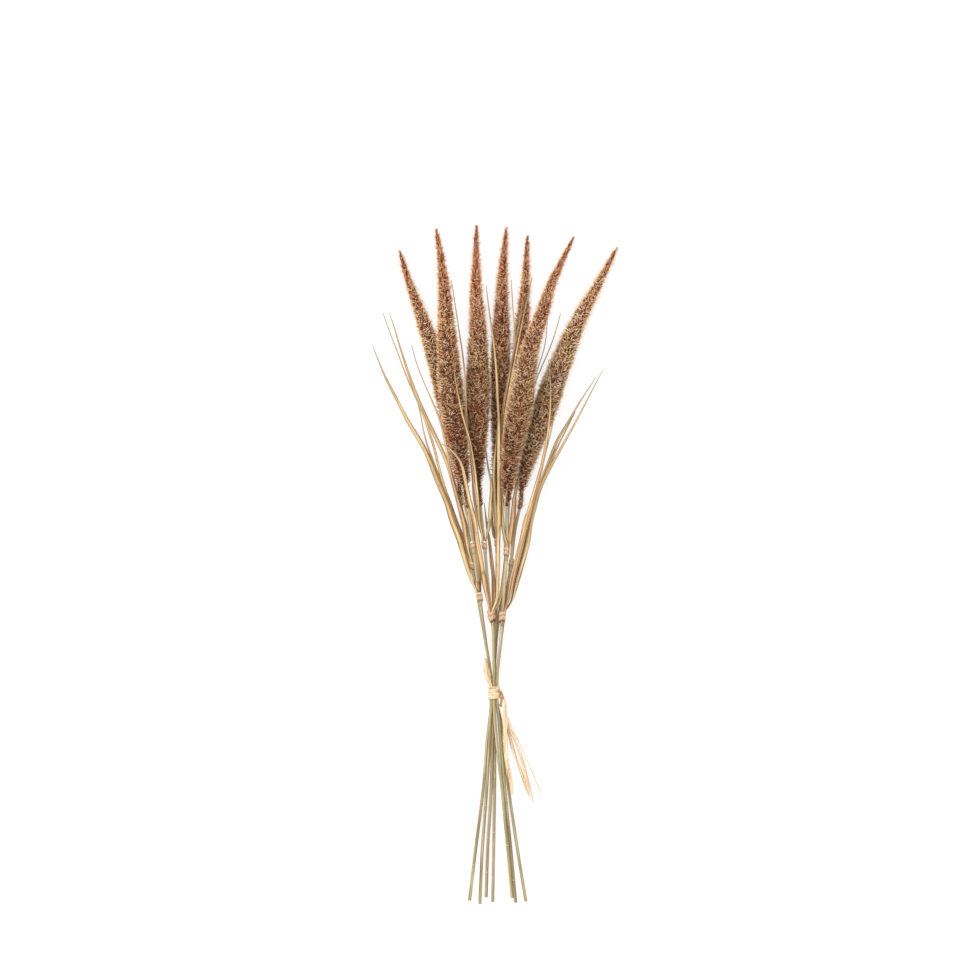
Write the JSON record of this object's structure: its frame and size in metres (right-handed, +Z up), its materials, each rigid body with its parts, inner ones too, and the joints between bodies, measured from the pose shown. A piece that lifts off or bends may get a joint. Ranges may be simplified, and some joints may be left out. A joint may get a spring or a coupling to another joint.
{
  "type": "tied bundle of dried grass spikes",
  "caption": "Cut, dried bunch of slender grass stems with dense tapering bristly brown spikes and straw-like leaf blades, bound with raffia and lying flat.",
  "frame": {"origin": "on the surface that the bundle lies on, under the middle of its bounding box", "axes": "+Y from the cut ends of the stems to the tips of the spikes, +Z up from the surface, +X to the right"},
  "size_m": [0.2542, 0.702, 0.0563],
  "materials": {
    "stem": "matte",
    "spike": "matte",
    "leaf": "matte",
    "raffia": "matte"
  },
  "bodies": {
    "root": {"stem_1": "stem", "stem_2": "stem", "stem_3": "stem", "stem_4": "stem", "stem_5": "stem", "stem_6": "stem", "stem_7": "stem", "head_1": "spike", "head_2": "spike", "head_3": "spike", "head_4": "spike", "head_5": "spike", "head_6": "spike", "head_7": "spike", "leaf_low_2": "leaf", "leaf_low_3": "leaf", "leaf_low_6": "leaf", "leaf_top_1": "leaf", "leaf_top_2": "leaf", "leaf_top_3": "leaf", "leaf_top_4": "leaf", "leaf_top_5": "leaf", "leaf_top_6": "leaf", "leaf_top_7": "leaf", "raffia_tie": "raffia"}
  },
  "joints": []
}
